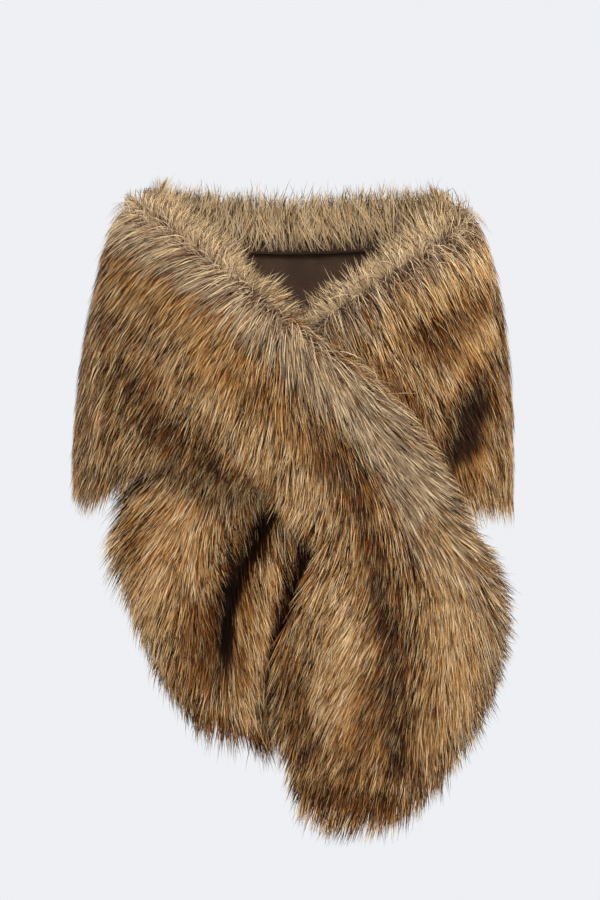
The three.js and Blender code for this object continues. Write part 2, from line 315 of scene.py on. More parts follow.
class Wire:
    # an output of a node that can be calculated with, or only the tree to start from
    def __init__(self, tree, socket=None):
        self.tree = tree
        self.socket = socket

    def plug(self, value, target):
        if isinstance(value, Wire):
            self.tree.links.new(value.socket, target)
        else:
            target.default_value = value

    def node(self, kind, inputs=(), output=0, stops=(), **settings):
        # the settings and a ramp's stops come first, then the values or links of the sockets
        made = self.tree.nodes.new(kind)
        for name, value in settings.items():
            setattr(made, name, value)
        if stops:
            points = made.color_ramp.elements
            while len(points) < len(stops):
                points.new(0.5)
            for point, (at, color) in zip(points, stops):
                point.position = at
                point.color = (*color, 1)
        for key, value in dict(inputs).items():
            self.plug(value, made.inputs[key])
        return Wire(self.tree, made.outputs[output])

    def math(self, operation, *values):
        return self.node("ShaderNodeMath", dict(enumerate(values)), operation=operation)

    def __add__(self, other):
        return self.math("ADD", self, other)

    def __sub__(self, other):
        return self.math("SUBTRACT", self, other)

    def __mul__(self, other):
        return self.math("MULTIPLY", self, other)

    def __rsub__(self, other):
        return self.math("SUBTRACT", other, self)

    __radd__ = __add__
    __rmul__ = __mul__

    def axis(self, number):
        # one of the three numbers of a vector
        return self.node("ShaderNodeSeparateXYZ", {0: self}, number)

    def rise(self, low, high):
        # 0 below low, 1 above high, smooth between
        inputs = {"Value": self, "From Min": low, "From Max": high}
        return self.node("ShaderNodeMapRange", inputs, interpolation_type="SMOOTHSTEP")

    def blend(self, first, second):
        # this wire is the factor, and each colour is a wire or three numbers
        first, second = (color if isinstance(color, Wire) else (*color, 1) for color in (first, second))
        return self.node("ShaderNodeMix", {0: self, 6: first, 7: second}, 2, data_type="RGBA")


def newMaterial(name):
    # the material, a wire to start from, and its shader's inputs
    material = bpy.data.materials.new(name)
    material.use_nodes = True
    tree = material.node_tree
    return material, Wire(tree), tree.nodes["Principled BSDF"].inputs


def linear(red, green, blue):
    # what a screen shows as 0 to 255, as light
    return tuple(((v / 255 + 0.055) / 1.055) ** 2.4 if v > 10 else v / 255 / 12.92 for v in (red, green, blue))


# The fur's colours lie on one chart, its OFBake map: along it the tone of a strand, twice, with pale tips and
# with dark ones; up it the way from a strand's root to its tip

furColors = {
    "tones": [
        (0.00, linear(122, 98, 76)), (0.09, linear(174, 146, 116)), (0.20, linear(246, 220, 178)),
        (0.36, linear(218, 162, 91)), (0.52, linear(167, 107, 46)), (0.66, linear(138, 78, 26)),
        (0.82, linear(64, 32, 12)), (1.00, linear(22, 11, 5)),
    ],
    # rootShade and rootReach: how dark a strand is at its root and how far up that reaches, partly dark roots and
    # partly painted shade in the pile
    "rootShade": 0.18, "rootReach": (0.1, 0.72),
    "paleTip": linear(240, 204, 146), "paleReach": (0.58, 0.88), "paleShare": 0.82,
    "paleFrom": (0.12, 0.24), "paleUntil": (0.74, 0.94),
    "darkTip": linear(34, 18, 9), "darkReach": (0.65, 0.82), "darkShare": 0.94,
    "roughness": 0.5, "specular": 0.1,
}


def furMaterial():
    # a strand's tone from the ramp, darker towards its root, partly as its own dark root and partly as painted shade
    # deep in the pile, then its pale or dark tip over that
    material, start, shader = newMaterial("fur")
    chart = start.node("ShaderNodeUVMap", uv_map="OFBake")
    along, up = chart.axis(0), chart.axis(1)
    darkTipped = start.math("GREATER_THAN", along, 0.5)
    tone = along * 2 - darkTipped
    body = start.node("ShaderNodeValToRGB", {0: tone}, stops=furColors["tones"])
    shade = up.rise(*furColors["rootReach"]) * (1 - furColors["rootShade"]) + furColors["rootShade"]
    shaded = start.node("ShaderNodeVectorMath", {0: body, "Scale": shade}, operation="SCALE")
    middling = tone.rise(*furColors["paleFrom"]) * (1 - tone.rise(*furColors["paleUntil"]))
    paleness = up.rise(*furColors["paleReach"]) * (1 - darkTipped) * middling * furColors["paleShare"]
    darkness = up.rise(*furColors["darkReach"]) * darkTipped * furColors["darkShare"]
    color = darkness.blend(paleness.blend(shaded, furColors["paleTip"]), furColors["darkTip"])
    start.plug(color, shader["Base Color"])
    start.plug(furColors["roughness"], shader["Roughness"])
    start.plug(furColors["specular"], shader["Specular IOR Level"])
    return material


backingLook = {
    "color": linear(62, 44, 32), "worn": linear(84, 60, 42), "wornShare": 0.6, "knitShare": 0.3,
    "cloud": {"Scale": 38.0, "Detail": 4.0}, "cloudRise": (0.35, 0.68), "fuzz": {"Scale": 420.0, "Detail": 2.0},
    "courses": 620, "bump": {"Strength": 0.4, "Distance": 0.0005}, "roughness": 0.9,
}


def backingMaterial():
    # courses of knitting as a sine of the height, with fuzz, over a cloudy brown
    material, start, shader = newMaterial("knitBacking")
    where = start.node("ShaderNodeTexCoord", output="Object")
    cloudy = start.node("ShaderNodeTexNoise", {"Vector": where, **backingLook["cloud"]})
    fuzz = start.node("ShaderNodeTexNoise", {"Vector": where, **backingLook["fuzz"]})
    courses = start.math("SINE", where.axis(2) * (backingLook["courses"] * 2 * math.pi)) * 0.5 + 0.5
    knit = courses * 0.6 + fuzz * 0.4
    wear = cloudy.rise(*backingLook["cloudRise"]) * backingLook["wornShare"] + knit * backingLook["knitShare"]
    start.plug(wear.blend(backingLook["color"], backingLook["worn"]), shader["Base Color"])
    start.plug(start.node("ShaderNodeBump", {"Height": knit, **backingLook["bump"]}), shader["Normal"])
    start.plug(backingLook["roughness"], shader["Roughness"])
    return material


furSurface = furMaterial()
backingSurface = backingMaterial()
print("materials made")

# The backing: the knit cloth that carries the pile, its neck edge turned over to the inside

cloth = {
    "thick": 1.6, "outward": 2.0, "turnRadius": 3.9, "turned": 46, "tailMargin": 14, "hemMargin": 28,
    "endMargin": 30, "pitch": 7.0, "rowsDown": 30, "turnRows": 7, "seam": 0.004,
}


def hemMarginAt(place):
    # how far the cloth stops short of the fur's tips: less along the side of the end on top, where the fur lies
    # along the hem
    return np.interp(place, [4.5, 6.5], [cloth["tailMargin"], cloth["hemMargin"]])


def meshObject(name, points, loops, starts, totals, surface, chart=None, shadeSmooth=True):
    # points in millimetres; loops are the corners of every face in turn, starts and totals where they lie
    mesh = bpy.data.meshes.new(name)
    mesh.vertices.add(len(points))
    mesh.vertices.foreach_set("co", (points * metre).astype(np.float32).ravel())
    mesh.loops.add(len(loops))
    mesh.loops.foreach_set("vertex_index", loops.astype(np.int32).ravel())
    mesh.polygons.add(len(starts))
    mesh.polygons.foreach_set("loop_start", starts.astype(np.int32))
    mesh.polygons.foreach_set("loop_total", totals.astype(np.int32))
    if chart is not None:
        layer = mesh.uv_layers.new(name="OFBake")
        layer.data.foreach_set("uv", chart.astype(np.float32).ravel())
    mesh.update(calc_edges=True)
    mesh.validate()
    mesh.polygons.foreach_set("use_smooth", np.full(len(mesh.polygons), shadeSmooth))
    mesh.materials.append(surface)
    obj = bpy.data.objects.new(name, mesh)
    bpy.context.collection.objects.link(obj)
    return obj


def profilePoints(run, side):
    # the cloth's profile at a run from the outer start of the turned edge: down the outside it counts up from 0,
    # round the turn and down the inside it counts below 0. side is the distance out from the cloth's middle.
    radius = cloth["turnRadius"]
    turnLength = math.pi * radius
    angle = np.clip(-run, 0, turnLength) / radius
    inside = np.maximum(-run - turnLength, 0)
    down = np.maximum(run, 0) + inside - (radius + side) * np.sin(angle)
    outward = cloth["outward"] - radius + (radius + side) * np.cos(angle)
    return down, outward, angle


def clothPart(stretch, margin):
    # the places where a stretch starts and ends, no nearer than the margin to the strip's two ends
    inCloth = tablePlaces[fromEndAt(tablePlaces) >= margin]
    return max(stretch.first, inCloth[0]), min(stretch.last, inCloth[-1])


def backingPiece(stretch):
    # a ring of points at each place, down the cloth's outer side and up its inner one, joined by quads and capped
    first, last = clothPart(stretch, cloth["endMargin"])
    first, last = first + cloth["seam"], last - cloth["seam"]
    length = np.interp([first, last], tablePlaces, stripRuns.mean(axis=1))
    count = int((length[1] - length[0]) / cloth["pitch"]) + 2
    place = np.linspace(first, last, count)
    width = widthAt(place)
    turnLength = math.pi * cloth["turnRadius"]
    innerRuns = -np.linspace(turnLength + cloth["turned"], turnLength, cloth["turnRows"])
    turnRuns = -np.linspace(turnLength, 0, cloth["turnRows"])[1:]
    share = np.linspace(0, 1, cloth["rowsDown"])[1:]
    outer = share[None, :] * (width - hemMarginAt(place))[:, None]
    runs = np.concatenate([np.tile(np.r_[innerRuns, turnRuns], (count, 1)), outer], axis=1)
    sides = []
    for side in (cloth["thick"] / 2, -cloth["thick"] / 2):
        down, outward, _ = profilePoints(runs, side)
        sides.append(wrapPoints(place[:, None], down / width[:, None], outward))
    ring = np.concatenate([sides[0], sides[1][:, ::-1]], axis=1)
    around = ring.shape[1]
    points = ring.reshape(-1, 3)
    i, j = np.meshgrid(np.arange(count - 1), np.arange(around), indexing="ij")
    a, b = i * around + j, i * around + (j + 1) % around
    quads = np.stack([a, a + around, b + around, b], axis=-1).reshape(-1, 4)
    k = np.arange(around // 2 - 1)
    cap = np.stack([k, k + 1, around - 2 - k, around - 1 - k], axis=-1)
    quads = np.concatenate([quads, cap, cap[:, ::-1] + (count - 1) * around])
    starts = np.arange(len(quads)) * 4
    totals = np.full(len(quads), 4)
    obj = meshObject(stretch.name + "Backing", points, quads.ravel(), starts, totals, backingSurface)
    return obj, place, width


def faceOutwards(obj):
    # a closed mesh whose volume, the sum of its triangles' triple products, comes out negative is turned inside out
    mesh = obj.data
    mesh.calc_loop_triangles()
    points = np.empty(len(mesh.vertices) * 3)
    mesh.vertices.foreach_get("co", points)
    corners = np.empty(len(mesh.loop_triangles) * 3, int)
    mesh.loop_triangles.foreach_get("vertices", corners)
    a, b, c = points.reshape(-1, 3)[corners.reshape(-1, 3)].transpose(1, 0, 2)
    if np.sum(np.cross(a, b) * c) < 0:
        mesh.flip_normals()


# The fur: ribbons of three or four segments that leave the cloth steeply and lie down along the comb. Lengths are in
# millimetres and angles in degrees. Two numbers in brackets are the values at the fold and past the zone beside it,
# or the ends of an even spread.

fur = {
    "length": 50, "lengthSpread": 0.14, "shortest": 12, "longest": 70, "width": 0.84, "widthShare": (0.75, 1.3),
    "rootShare": 0.42, "middleShare": 0.3, "tipShare": -0.55, "stepsInZone": 4, "stepsElsewhere": 3,
    "foldZone": 52, "rootLift": 38, "rootLiftSpread": 5, "tipLift": (-10, 9), "tipLiftSpread": 4,
    "flyawayShare": 0.04, "flyawayLift": (5, 18), "drift": 2.5, "strandAngle": 6, "twist": 50, "curl": 0.6,
    "highest": 22, "overBox": (8, 7, 13), "endMargin": 29, "turned": 44, "combNear": 42,
}
# locks: their size, how far a strand's tip is drawn to the middle of its lock, and how much locks differ
locks = {
    "size": 8.0, "bigSize": 26.0, "fineSize": 2.8,
    "pull": (0.1, 0.26), "pullMiddle": 1.1, "pullSpread": 0.25, "pullLimits": (0.2, 1.3),
    "bigPull": 0.1, "finePull": 0.55, "angle": 6, "bigAngle": 6, "lean": 0.4, "bigLean": 0.7,
    "rootLift": 5, "bigTipLift": 6, "length": 0.2, "bigStand": 16,
}
# towards the two ends of the strip: a tighter pull, other lengths, more dark tips
ends = {"pull": 0.2, "longer": 0.04, "lengthSpread": 0.12, "darkTips": 0.3}
# beside the fold a share of the fur stands up in all directions, so that it is a soft roll
roll = {"reach": 30, "raised": (0.2, 0.9), "tipLift": (10, 75), "length": (0.45, 0.75)}
# past the turn of the fold, where the fur stands up along the inside
inside = {
    "leanSpread": 0.24, "rootLift": 26, "tipLift": 2, "standSpread": 9, "wispShare": 0.12, "wisp": (4, 18),
}
# the two tufts where the fold passes over the shoulders
tufts = {
    "places": (16.1, 24.6), "width": 1.1, "rollShare": 0.25, "tipLift": 42, "stand": 30, "tone": 0.17,
    "toneShare": 0.65, "toneReach": 34,
}
# At the fold of the neck edge: place, how far the turned fur stands, its lean along the strip, its share of pale
# strands, how steeply the outer fur leaves the fold, and the share of it that stands up in all directions
fringeTable = np.array([
    [0, 14, -0.4, 0.8, 62, 0.25], [2, 18, -0.1, 0.9, 66, 0.4], [5, 16, -0.3, 0.7, 68, 0.35],
    [7.5, 6, -1.3, 0.12, 72, 0.2], [10.6, 6, -1.3, 0.12, 76, 0.25], [12, 26, -0.5, 0.8, 78, 0.5],
    [13.5, 34, -0.2, 1, 78, 0.55], [16, 30, 0, 1, 78, 0.6], [17.5, 26, 0, 1, 62, 0.45],
    [23.5, 26, 0, 1, 62, 0.45], [25, 30, 0, 1, 78, 0.6], [28, 34, 0.1, 1, 78, 0.55],
    [31, 26, 0.3, 0.7, 74, 0.4], [32.6, 4, 1.3, 0.2, 44, 0.05], [38, 4, 1.3, 0.3, 40, 0.05],
], float)
# where the fur is shorter, or longer where the share is below 0: x, z, radius in x, radius in z, share
trimmed = {
    "over_front": [(-24, -292, 22, 22, 0.4), (-192, -296, 24, 26, -0.4)],
    "right_shoulder": [(-244, -300, 22, 34, 0.36), (-212, -305, 16, 26, -0.25)],
    "under_tail": [(-186, -352, 26, 44, -0.28)],
}

# Comb: degrees from straight down, positive towards the viewer's right in front; at the fold, near it, in the
# middle of the cloth and at its hem
combTable = np.array([
    [0, 30, 0, -12, -16], [1, 40, 0, -14, -14], [2, 50, 2, -20, -14], [3, 60, 4, -28, -14],
    [5, 60, 8, -28, -18], [6, 60, 25, -12, -24], [7, 55, 35, 2, -25], [8, 50, 29, -3, -23],
    [9, 42, 20, -8, -22], [10, 28, 9, -14, -22], [11, 2, -7, -18, -23], [12, -32, -20, -20, -24],
    [13, -62, -30, -20, -24], [14, -64, -26, -14, -20], [15, -58, -22, -10, -14], [16, -46, -14, -8, -10],
    [17, -18, -5, -4, -4], [18, 0, 0, 0, 0], [24, 0, 0, 0, 0], [25, 14, 12, 8, 4],
    [26, 20, 18, 14, 6], [27, 22, 20, 20, 8], [28, 20, 18, 22, 10], [31, 20, 18, 20, 8],
    [32, 0, 5, 8, 5], [33, -34, -34, 6, 5], [34, -34, -36, 14, 3], [35, -24, -28, 18, 2],
    [36, -6, -14, 14, 0], [38, 0, -4, 6, -4],
], float)


def combAt(place, down, width):
    # from the angle at the fold to the one near it, that in the middle of the cloth and that at the hem
    fold, near, middle, hem = (np.interp(place, combTable[:, 0], combTable[:, k]) for k in range(1, 5))
    reach = fur["combNear"]
    angle = mix(fold, near, smooth(down / reach))
    angle = mix(angle, middle, smooth((down - reach) / (width / 2 - reach)))
    return mix(angle, hem, smooth((down - width / 2) / (width / 2 - hemMarginAt(place))))


def hashed(x, y, seed):
    # an even number from 0 to 1 for each pair of numbers: what a large sine leaves behind its point
    value = np.sin(x * 127.1 + y * 311.7 + seed * 74.7) * 43758.5453
    return value - np.floor(value)


def lockNumber(lock, seed):
    # a number of its own, from 0 to 1, for each lock
    return hashed(lock.cellX, lock.cellY, seed)


def locksAt(along, over, size, seed):
    # the middle of a lock is a point set at random in each cell of a grid, and a strand belongs to the nearest
    homeX, homeY = np.floor(along / size), np.floor(over / size)
    best = np.full(np.shape(along), np.inf)
    found = np.zeros((4, len(along)))
    for dx in (-1, 0, 1):
        for dy in (-1, 0, 1):
            cellX, cellY = homeX + dx, homeY + dy
            x = (cellX + 0.5 + 0.8 * (hashed(cellX, cellY, seed) - 0.5)) * size
            y = (cellY + 0.5 + 0.8 * (hashed(cellX, cellY, seed + 1) - 0.5)) * size
            gone = (x - along) ** 2 + (y - over) ** 2
            nearer = gone < best
            best = np.where(nearer, gone, best)
            found = np.where(nearer, np.stack([x, y, cellX, cellY]), found)
    return SimpleNamespace(x=found[0], y=found[1], cellX=found[2], cellY=found[3])


def drift(points, wavelength, seed):
    # soft noise, about -1 to 1: the sum of seven plane waves in different directions
    rng = np.random.default_rng(seed)
    total = np.zeros(len(points))
    for k in range(7):
        way = unit(rng.normal(size=3)) * 2 * math.pi / (wavelength * rng.uniform(0.6, 1.6))
        total += np.sin(points @ way + rng.uniform(0, 2 * math.pi))
    return total / 3.2


# Colour patches on the cloth, some of the dark ones painted shade in a crease, under a hem and beside an edge: x, z,
# radius in x, radius in z, tone, strength
toneAndShadePatches = {
    "over": [
        (-184, -183, 26, 60, 0.86, 0.75), (-160, -241, 38, 40, 0.90, 0.8), (-207, -61, 15, 40, 0.82, 0.5),
        (-105, -255, 34, 34, 0.84, 0.6), (-20, -215, 40, 24, 0.84, 0.7), (60, -285, 36, 30, 0.86, 0.8),
        (-190, -310, 24, 20, 0.80, 0.5), (60, -345, 22, 30, 0.74, 0.6), (-30, -250, 26, 30, 0.48, 0.5),
        # the four from (95, -360) to (124, -625): darker rust down the crease of the fold on the end on top, partly
        # its own colour and partly painted shade
        (95, -360, 24, 44, 0.76, 0.6), (112, -440, 26, 50, 0.76, 0.6), (115, -540, 26, 64, 0.78, 0.6),
        (124, -625, 24, 40, 0.80, 0.7), (20, -570, 20, 60, 0.80, 0.6), (52, -450, 26, 60, 0.40, 0.75),
        (52, -560, 20, 50, 0.46, 0.5), (175, -470, 24, 80, 0.42, 0.7), (60, -640, 30, 20, 0.76, 0.5),
        # (-52, -322): painted shadow at the hem of the front, over the top of the deep crease of the end beneath
        (-52, -322, 30, 20, 0.92, 0.8), (20, -172, 22, 26, 0.66, 0.6), (-125, -158, 22, 22, 0.72, 0.6),
        (-185, -255, 24, 26, 0.8, 0.6), (-150, -288, 22, 20, 0.82, 0.6), (-122, -222, 20, 20, 0.8, 0.6),
    ],
    "under": [
        (119, -178, 26, 26, 0.44, 0.5), (150, -215, 26, 30, 0.76, 0.6), (230, -290, 14, 40, 0.5, 0.6),
        (140, -200, 14, 30, 0.4, 0.5),
    ],
    "tail": [
        # (-18, -540): painted shadow beside the edge of the end on top
        (-18, -540, 14, 60, 0.88, 0.6), (-40, -470, 12, 50, 0.44, 0.5), (-50, -545, 18, 36, 0.38, 0.7),
        (-120, -345, 40, 16, 0.56, 0.5), (-118, -410, 28, 44, 0.46, 0.5), (-165, -430, 20, 60, 0.66, 0.4),
        (-118, -490, 26, 34, 0.78, 0.5),
    ],
}
# Lines on the back, which the fur of every stretch shares: points of the line in x and z, half width of its core,
# softness, tone, strength
rearLines = [
    ([(-40, -70), (-52, -150), (-44, -240)], 8, 26, 0.84, 0.6),
    ([(96, -110), (112, -190), (98, -270)], 8, 26, 0.86, 0.65),
    ([(-140, -140), (-156, -230), (-150, -300)], 8, 26, 0.84, 0.6),
    ([(40, -90), (36, -170), (48, -260)], 8, 28, 0.3, 0.4),
    ([(-100, -100), (-94, -200), (-104, -280)], 8, 26, 0.28, 0.4),
    ([(170, -100), (178, -200)], 8, 26, 0.32, 0.4),
    ([(-10, -270), (30, -300)], 8, 22, 0.8, 0.6),
]
# and the same on the front, where some dark lines are painted shade in creases, under hems and beside edges, and one
# pale line is a painted highlight on a fold
toneAndShadingLines = {
    "over": [
        ([(-190, -62), (-118, -122), (-68, -184), (-4, -236), (42, -268)], 6, 24, 0.66, 0.45),
        ([(-168, -186), (-156, -225), (-128, -264)], 5, 18, 0.86, 0.7),
        # painted shade along the hem of the front
        ([(-98, -268), (-68, -300), (-33, -314)], 5, 18, 0.88, 0.82),
        ([(36, -245), (52, -290)], 6, 18, 0.82, 0.75),
        # this line and the next: darker fur down the crease of the fold on the end on top, partly its own colour and
        # partly painted shade
        ([(64, -300), (77, -330), (83, -355), (95, -418)], 3, 20, 0.84, 0.78),
        ([(95, -418), (108, -487), (109, -560), (116, -612)], 5, 22, 0.87, 0.78),
        ([(82, -530), (70, -610)], 6, 22, 0.8, 0.55),
        ([(50, -480), (50, -590)], 5, 20, 0.22, 0.32),
        ([(0, -500), (6, -560), (18, -600)], 4, 18, 0.84, 0.65),
        ([(166, -420), (170, -520), (150, -600)], 8, 24, 0.22, 0.32),
        ([(30, -640), (100, -664)], 8, 22, 0.84, 0.65),
        ([(140, -320), (165, -380), (186, -450)], 8, 24, 0.17, 0.5),
        ([(196, -500), (186, -570)], 6, 20, 0.2, 0.4),
    ],
    "under": [
        # this pale line and the dark one after it: a painted highlight on the top of a soft fold and painted shade
        # below it
        ([(112, -116), (150, -102), (205, -76)], 5, 18, 0.22, 0.55),
        ([(134, -152), (170, -136), (204, -112)], 6, 20, 0.84, 0.65),
        ([(156, -156), (186, -160)], 5, 18, 0.84, 0.5),
        ([(118, -250), (150, -262), (170, -290)], 5, 20, 0.8, 0.5),
        # painted shade in the hollow beside the fold line of the end on top
        ([(188, -262), (196, -282)], 10, 16, 0.88, 0.5),
        ([(78, -182), (116, -214)], 4, 12, 0.28, 0.6),
        ([(92, -168), (146, -230)], 2, 9, 0.78, 0.6),
        ([(210, -142), (186, -188)], 5, 14, 0.3, 0.6),
        ([(206, -184), (200, -216)], 4, 18, 0.86, 0.7),
        # painted shadow, near black, in that same hollow
        ([(198, -220), (190, -252), (184, -298)], 8, 26, 0.93, 0.93),
        ([(190, -296), (212, -284)], 5, 14, 0.25, 0.6),
    ],
    "tail": [
        ([(-125, -335), (-146, -395), (-152, -427)], 8, 26, 0.16, 0.4),
        ([(-110, -568), (-40, -600)], 6, 20, 0.84, 0.6),
        ([(-176, -350), (-172, -395)], 3, 14, 0.78, 0.5),
        ([(-104, -370), (-108, -400)], 6, 18, 0.22, 0.45),
        ([(-100, -455), (-94, -520)], 7, 20, 0.8, 0.7),
        ([(-50, -415), (-54, -520)], 4, 14, 0.7, 0.5),
        ([(-22, -398), (-24, -440), (-33, -500)], 3, 9, 0.12, 0.5),
        # this line: painted shadow beside the edge of the end on top; the three after it: painted shade down the deep
        # crease
        ([(14, -381), (2, -420), (-12, -448), (-20, -485), (-26, -530)], 3, 8, 0.98, 0.9),
        ([(-77, -480), (-75, -515)], 1, 16, 0.92, 0.75),
        ([(-71, -424), (-77, -450), (-77, -482)], 5, 14, 0.98, 0.93),
        ([(2, -316), (-17, -326), (-29, -350), (-46, -379), (-61, -402), (-72, -430)], 6, 11, 1.0, 0.97),
    ],
}

# How tones are mixed: 0 taupe, 0.2 cream, 0.36 gold, 0.5 to 0.7 browns, 1 near black
toneMix = {
    "wideWave": 120, "wide": 0.12, "fineWave": 46, "fine": 0.14, "lock": 0.1, "bigLock": 0.12,
    "goldenDown": 85, "goldenWidth": 30, "golden": 0.52, "goldenLock": 0.14, "goldenShare": 0.6,
    # the valley entries: painted shade, the fur darkened towards brown-black where the cloth dips into a fold, by the
    # depth of the dip
    "valleyShade": 0.84, "valleyShadeDepth": 15, "valleyShadeShare": 0.85,
    "fineLock": 0.3, "strand": 0.29, "strayShare": 0.1, "strayDark": 0.3, "strayPale": 0.22,
    "palest": 0.24, "span": (0.02, 0.97),
}
taupe = {
    "over": 24, "lock": 0.05, "fineLock": 0.09, "wave": 0.02, "strand": 0.05, "span": (0.01, 0.21),
    "darkShare": 0.13, "dark": 0.7,
}
# the turned fur: pale taupe at the fold, cream and gold further in
innerMix = {
    "cream": 0.185, "creamSpread": 0.12, "creamLock": 0.06, "taupe": 0.13, "taupeLock": 0.07,
    "taupeShare": (0.6, 0.15), "deep": 30, "darkShare": 0.1, "dark": 0.8, "greyShare": 0.5, "grey": 0.07,
    "greySpread": 0.05, "greySpan": (0.02, 0.2), "brown": 0.66,
}
# how many tips are dark, and where on the chart a strand starts and ends, so that tips are long, short or none
tips = {"dark": 0.4, "darkInside": 0.1, "darkBigLock": 0.2, "root": (0.42, 0.01), "tip": (0.78, 0.99)}


def fromLine(points, line):
    # distance to the nearest point of a line of straight parts
    nearest = np.full(len(points), np.inf)
    for start, end in zip(np.array(line[:-1], float), np.array(line[1:], float)):
        share = np.clip((points - start) @ (end - start) / np.sum((end - start) ** 2), 0, 1)
        nearest = np.minimum(nearest, np.linalg.norm(points - start - share[:, None] * (end - start), axis=1))
    return nearest


def outerTones(stretch, root, shown, down, valleyShade, rng):
    # taupe by the fold, then golden, then mixed browns, with locks, patches and lines of their own; the folds get
    # painted shade, and some patches and lines are painted shade and one a painted highlight
    fine = drift(shown, toneMix["fineWave"], 12)
    lock, bigLock = root.lockNumber - 0.5, root.bigNumber - 0.5
    body = stretch.tone + toneMix["wide"] * drift(shown, toneMix["wideWave"], 11)
    body += toneMix["fine"] * fine + toneMix["lock"] * lock + toneMix["bigLock"] * bigLock
    golden = np.exp(-(((down - toneMix["goldenDown"]) / toneMix["goldenWidth"]) ** 2))
    body = mix(body, toneMix["golden"] + toneMix["goldenLock"] * lock, toneMix["goldenShare"] * golden)
    inFront = shown[:, 1] < 0
    for x, z, radiusX, radiusZ, tone, strength in toneAndShadePatches[stretch.patches]:
        near = np.exp(-(((shown[:, 0] - x) / radiusX) ** 2 + ((shown[:, 2] - z) / radiusZ) ** 2)) * inFront
        body = mix(body, tone, strength * near)
    # painted shade: darker where the cloth dips into a fold, except on the end beneath
    body = mix(body, toneMix["valleyShade"], toneMix["valleyShadeShare"] * valleyShade * (stretch.patches != "tail"))
    # fine locks and strands are light or dark of their own, less so in dark fur, and some are strays
    body += toneMix["fineLock"] * (root.fineNumber - 0.5) * (1 - 0.6 * smooth((body - 0.7) / 0.25))
    body += rng.normal(0, toneMix["strand"], root.count)
    stray = rng.random(root.count)
    body = np.where(stray > 1 - toneMix["strayShare"], toneMix["strayPale"], body)
    body = np.where(stray < toneMix["strayShare"], body + toneMix["strayDark"], body)
    for lines, there in ((toneAndShadingLines[stretch.patches], inFront), (rearLines, ~inFront)):
        for line, core, soft, tone, strength in lines:
            near = 1 - smooth((fromLine(shown[:, [0, 2]], line) - core) / soft)
            body = mix(body, tone, strength * near * there)
    share = (1 - smooth((down - stretch.taupeDepth) / taupe["over"])) * stretch.taupeShare
    grey = stretch.taupeTone + taupe["lock"] * lock + taupe["wave"] * fine
    grey += taupe["fineLock"] * (root.fineNumber - 0.5) + rng.normal(0, taupe["strand"], root.count)
    isDark = hashed(root.fineNumber, root.lockNumber, 41) < taupe["darkShare"]
    grey = np.where(isDark, taupe["dark"], np.clip(grey, *taupe["span"]))
    isTaupe = hashed(root.fineNumber, root.bigNumber, 42) < share
    return np.where(isTaupe, grey, np.maximum(body, toneMix["palest"]))


def innerTones(root, rng):
    # taupe by the fold and cream further in, a few dark; grey or brown where the fringe isn't pale
    count = root.count
    cream = innerMix["cream"] + innerMix["creamSpread"] * rng.random(count) ** 2
    cream += innerMix["creamLock"] * (root.fineNumber - 0.5)
    soft = innerMix["taupe"] + innerMix["taupeLock"] * root.fineNumber
    share = mix(*innerMix["taupeShare"], smooth(root.deep / innerMix["deep"]))
    pale = np.where(rng.random(count) < share, soft, cream)
    pale = np.where(rng.random(count) < innerMix["darkShare"], innerMix["dark"], pale)
    isGrey = rng.random(count) < innerMix["greyShare"]
    grey = innerMix["grey"] + rng.normal(0, innerMix["greySpread"], count)
    brown = np.where(isGrey, np.clip(grey, *innerMix["greySpan"]), innerMix["brown"])
    return np.where(rng.random(count) < root.paleShare, pale, brown)


def scatterRoots(rng, stretch, count):
    # places and runs spread evenly over the cloth: 120 by 48 cells drawn by their area, then a point in each
    first, last = clothPart(stretch, fur["endMargin"])
    placeEdges = np.linspace(first, last, 121)
    shareEdges = np.linspace(0, 1, 49)
    middle = (placeEdges[1:] + placeEdges[:-1]) / 2
    shares = (shareEdges[1:] + shareEdges[:-1]) / 2
    lowest = -(math.pi * cloth["turnRadius"] + fur["turned"])

    def runsOf(place, share):
        return mix(lowest, widthAt(place) - hemMarginAt(place) + 1, share)

    down = profilePoints(runsOf(middle[:, None], shares[None, :]), 0)[0]
    across = down / widthAt(middle)[:, None]
    ahead = wrapPoints(middle[:, None] + 0.02, across, 0) - wrapPoints(middle[:, None] - 0.02, across, 0)
    area = np.linalg.norm(ahead, axis=-1) * (widthAt(middle) - hemMarginAt(middle) - lowest)[:, None]
    chance = np.cumsum(area.ravel()) / area.sum()
    cell = np.searchsorted(chance, (np.arange(count) + rng.random(count)) / count)
    cell = np.minimum(cell, area.size - 1)
    i, j = cell // len(shares), cell % len(shares)
    place = mix(placeEdges[i], placeEdges[i + 1], rng.random(count))
    share = mix(shareEdges[j], shareEdges[j + 1], rng.random(count))
    return place, runsOf(place, share)


def tuftAt(place):
    # a bell over the place of each tuft, where the fur stands out: 1 in its middle, 0 away from it
    return np.max([np.exp(-(((place - middle) / tufts["width"]) ** 2)) for middle in tufts["places"]], axis=0)


def towardsBox(points):
    # tips that pass the solids' own box come back to within a little of it
    low, high = (np.array(corner) / metre for corner in cadBounds)
    reach = np.array(fur["overBox"])
    past = np.maximum(points - high, 0) - np.maximum(low - points, 0)
    return points - past + reach * np.tanh(past / reach)


